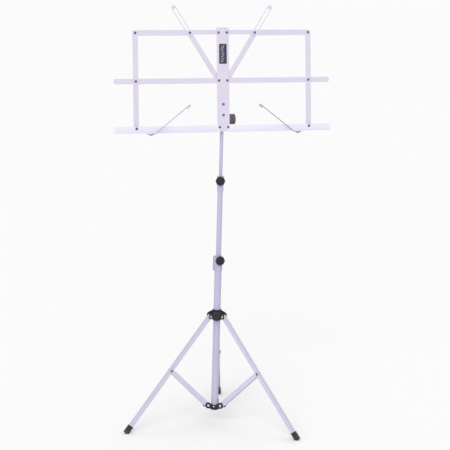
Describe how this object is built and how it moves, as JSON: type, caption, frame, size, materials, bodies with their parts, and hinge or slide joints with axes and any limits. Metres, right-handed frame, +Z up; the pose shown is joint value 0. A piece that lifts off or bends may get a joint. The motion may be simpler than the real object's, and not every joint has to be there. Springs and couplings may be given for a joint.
{
  "type": "folding music stand",
  "caption": "Folding music stand: tripod base with a sliding runner, telescoping clamped mast and a tilting sheet-metal desk that folds up from both sides.",
  "frame": {"origin": "centre of the tripod's footprint box, on the floor", "axes": "+Z up along the mast; the desk faces -Y; +X to the right of someone reading the music"},
  "size_m": [0.5, 0.3928, 0.9586],
  "materials": {
    "lilac_paint": "satin powder coat",
    "rod_paint": "satin powder coat",
    "black_plastic": "fine moulded texture",
    "rubber": "matte",
    "steel": "zinc plated",
    "wire": "bright plated wire",
    "nylon": "natural nylon",
    "label": "printed film"
  },
  "bodies": {
    "base": {"lower_tube": "lilac_paint", "lower_hub": "black_plastic", "hub_rivets": "steel", "hub_screw": "steel", "lower_collar": "lilac_paint"},
    "runner": {"runner_hub": "black_plastic", "runner_rivets": "steel"},
    "runner_knob": {"runner_screw": "steel", "runner_knob": "black_plastic"},
    "left_strut": {"left_strut": "lilac_paint"},
    "right_strut": {"right_strut": "lilac_paint"},
    "rear_strut": {"rear_strut": "lilac_paint"},
    "left_leg": {"left_leg": "lilac_paint", "left_leg_rivets": "steel", "left_foot": "rubber"},
    "right_leg": {"right_leg": "lilac_paint", "right_leg_rivets": "steel", "right_foot": "rubber"},
    "rear_leg": {"rear_leg": "lilac_paint", "rear_leg_rivets": "steel", "rear_foot": "rubber"},
    "lower_knob": {"lower_screw": "steel", "lower_knob": "black_plastic"},
    "mid_glide": {"mid_glide": "nylon"},
    "mid_stage": {"mid_tube": "lilac_paint", "upper_collar": "lilac_paint"},
    "upper_knob": {"upper_screw": "steel", "upper_knob": "black_plastic"},
    "rod_glide": {"rod_glide": "nylon"},
    "top_stage": {"top_rod": "rod_paint", "rod_eye": "rod_paint"},
    "desk": {"centre_plate": "lilac_paint", "plate_rivets": "steel", "tilt_bracket": "lilac_paint", "tilt_nut": "steel", "label": "label"},
    "tilt_knob": {"tilt_screw": "steel", "tilt_knob": "black_plastic"},
    "left_top_bar": {"left_top_bar": "lilac_paint", "left_guide_pin": "steel"},
    "left_middle_bar": {"left_middle_bar": "lilac_paint"},
    "left_ledge_bar": {"left_ledge_bar": "lilac_paint"},
    "left_side_bar": {"left_side_bar": "lilac_paint", "left_side_rivets": "steel"},
    "left_slotted_bar": {"left_slotted_bar": "lilac_paint"},
    "left_page_holder": {"left_page_holder": "wire"},
    "right_top_bar": {"right_top_bar": "lilac_paint", "right_guide_pin": "steel"},
    "right_middle_bar": {"right_middle_bar": "lilac_paint"},
    "right_ledge_bar": {"right_ledge_bar": "lilac_paint"},
    "right_side_bar": {"right_side_bar": "lilac_paint", "right_side_rivets": "steel"},
    "right_slotted_bar": {"right_slotted_bar": "lilac_paint"},
    "right_page_holder": {"right_page_holder": "wire"}
  },
  "joints": [
    {"name": "left_strut_fold", "type": "hinge", "parent": "base", "child": "left_strut", "pos_m": [-0.01962, -0.0261, 0.0435], "axis": [-0.1942, 0.981, 0], "range_deg": [0, 42]},
    {"name": "left_leg_fold", "type": "hinge", "parent": "left_strut", "child": "left_leg", "pos_m": [-0.11232, -0.04446, 0.1354], "axis": [0.1942, -0.981, 0], "range_deg": [0, 77.12]},
    {"name": "right_strut_fold", "type": "hinge", "parent": "base", "child": "right_strut", "pos_m": [0.01317, -0.03726, 0.0435], "axis": [-0.7524, -0.6587, 0], "range_deg": [0, 42]},
    {"name": "right_leg_fold", "type": "hinge", "parent": "right_strut", "child": "right_leg", "pos_m": [0.07542, -0.10837, 0.1354], "axis": [0.7524, 0.6587, 0], "range_deg": [0, 77.12]},
    {"name": "rear_strut_fold", "type": "hinge", "parent": "base", "child": "rear_strut", "pos_m": [0.00645, -0.00328, 0.0435], "axis": [0.9466, -0.3223, 0], "range_deg": [0, 42]},
    {"name": "rear_leg_fold", "type": "hinge", "parent": "rear_strut", "child": "rear_leg", "pos_m": [0.0369, 0.08618, 0.1354], "axis": [-0.9466, 0.3223, 0], "range_deg": [0, 77.12]},
    {"name": "runner_slide", "type": "slide", "parent": "base", "child": "runner", "axis": [0, 0, 1], "range_m": [0, 0.07369]},
    {"name": "runner_knob_turn", "type": "hinge", "parent": "runner", "child": "runner_knob", "pos_m": [-0.00645, -0.04115, 0.25596], "axis": [-0.3223, -0.9466, 0], "range_deg": [0, 360]},
    {"name": "lower_knob_turn", "type": "hinge", "parent": "base", "child": "lower_knob", "pos_m": [-0.00084, -0.0422, 0.3855], "axis": [-0.0419, -0.9991, 0], "range_deg": [0, 360]},
    {"name": "mid_tube_slide", "type": "slide", "parent": "base", "child": "mid_glide", "axis": [0, 0, 1], "range_m": [-0.15, 0.09]},
    {"name": "mid_tube_swivel", "type": "hinge", "parent": "mid_glide", "child": "mid_stage", "pos_m": [0, -0.02222, 0.3], "axis": [0, 0, 1], "continuous": true},
    {"name": "upper_knob_turn", "type": "hinge", "parent": "mid_stage", "child": "upper_knob", "pos_m": [-0.00565, -0.0414, 0.5685], "axis": [-0.2823, -0.9593, 0], "range_deg": [0, 360]},
    {"name": "top_rod_slide", "type": "slide", "parent": "mid_stage", "child": "rod_glide", "axis": [0, 0, 1], "range_m": [-0.08, 0.14]},
    {"name": "top_rod_swivel", "type": "hinge", "parent": "rod_glide", "child": "top_stage", "pos_m": [0, -0.02222, 0.5], "axis": [0, 0, 1], "continuous": true},
    {"name": "desk_tilt", "type": "hinge", "parent": "top_stage", "child": "desk", "pos_m": [0, -0.02222, 0.7065], "axis": [-1, 0, 0], "range_deg": [-7.5, 75]},
    {"name": "tilt_knob_turn", "type": "hinge", "parent": "desk", "child": "tilt_knob", "pos_m": [0.02, -0.02222, 0.7065], "axis": [1, 0, 0], "range_deg": [0, 360]},
    {"name": "left_top_bar_fold", "type": "hinge", "parent": "desk", "child": "left_top_bar", "pos_m": [-0.0096, -0.007, 0.89866], "axis": [0, 0.9914, -0.1305], "range_deg": [0, 83]},
    {"name": "left_middle_bar_fold", "type": "hinge", "parent": "desk", "child": "left_middle_bar", "pos_m": [-0.0096, -0.02087, 0.79337], "axis": [0, 0.9914, -0.1305], "range_deg": [0, 83]},
    {"name": "left_ledge_bar_fold", "type": "hinge", "parent": "desk", "child": "left_ledge_bar", "pos_m": [-0.0096, -0.03838, 0.69098], "axis": [0, 0.9914, -0.1305], "range_deg": [0, 83]},
    {"name": "left_side_bar_fold", "type": "hinge", "parent": "left_top_bar", "child": "left_side_bar", "pos_m": [-0.2, -0.008, 0.89879], "axis": [0, -0.9914, 0.1305], "range_deg": [0, 83]},
    {"name": "left_slotted_bar_fold", "type": "hinge", "parent": "desk", "child": "left_slotted_bar", "pos_m": [-0.0096, -0.01987, 0.79324], "axis": [0, 0.9914, -0.1305], "range_deg": [0, 28.98]},
    {"name": "left_page_holder_swing", "type": "hinge", "parent": "left_ledge_bar", "child": "left_page_holder", "pos_m": [-0.17, -0.05082, 0.68041], "axis": [1, 0, 0], "range_deg": [0, 90]},
    {"name": "right_top_bar_fold", "type": "hinge", "parent": "desk", "child": "right_top_bar", "pos_m": [0.0096, -0.007, 0.89866], "axis": [0, -0.9914, 0.1305], "range_deg": [0, 83]},
    {"name": "right_middle_bar_fold", "type": "hinge", "parent": "desk", "child": "right_middle_bar", "pos_m": [0.0096, -0.02087, 0.79337], "axis": [0, -0.9914, 0.1305], "range_deg": [0, 83]},
    {"name": "right_ledge_bar_fold", "type": "hinge", "parent": "desk", "child": "right_ledge_bar", "pos_m": [0.0096, -0.03838, 0.69098], "axis": [0, -0.9914, 0.1305], "range_deg": [0, 83]},
    {"name": "right_side_bar_fold", "type": "hinge", "parent": "right_top_bar", "child": "right_side_bar", "pos_m": [0.2, -0.008, 0.89879], "axis": [0, 0.9914, -0.1305], "range_deg": [0, 83]},
    {"name": "right_slotted_bar_fold", "type": "hinge", "parent": "desk", "child": "right_slotted_bar", "pos_m": [0.0096, -0.01987, 0.79324], "axis": [0, -0.9914, 0.1305], "range_deg": [0, 28.98]},
    {"name": "right_page_holder_swing", "type": "hinge", "parent": "right_ledge_bar", "child": "right_page_holder", "pos_m": [0.17, -0.05082, 0.68041], "axis": [1, 0, 0], "range_deg": [0, 90]}
  ],
  "couplings": [
    {"joint": "left_leg_fold", "follows": "left_strut_fold", "ratio": 1.8357},
    {"joint": "right_strut_fold", "follows": "left_strut_fold", "ratio": 1},
    {"joint": "right_leg_fold", "follows": "left_strut_fold", "ratio": 1.8357},
    {"joint": "rear_strut_fold", "follows": "left_strut_fold", "ratio": 1},
    {"joint": "rear_leg_fold", "follows": "left_strut_fold", "ratio": 1.8357},
    {"joint": "runner_slide", "follows": "left_strut_fold", "m_per_rad": 0.1005},
    {"joint": "left_middle_bar_fold", "follows": "left_top_bar_fold", "ratio": 1},
    {"joint": "left_ledge_bar_fold", "follows": "left_top_bar_fold", "ratio": 1},
    {"joint": "left_side_bar_fold", "follows": "left_top_bar_fold", "ratio": 1},
    {"joint": "left_slotted_bar_fold", "follows": "left_top_bar_fold", "ratio": 0.3489},
    {"joint": "right_middle_bar_fold", "follows": "right_top_bar_fold", "ratio": 1},
    {"joint": "right_ledge_bar_fold", "follows": "right_top_bar_fold", "ratio": 1},
    {"joint": "right_side_bar_fold", "follows": "right_top_bar_fold", "ratio": 1},
    {"joint": "right_slotted_bar_fold", "follows": "right_top_bar_fold", "ratio": 0.3489}
  ]
}
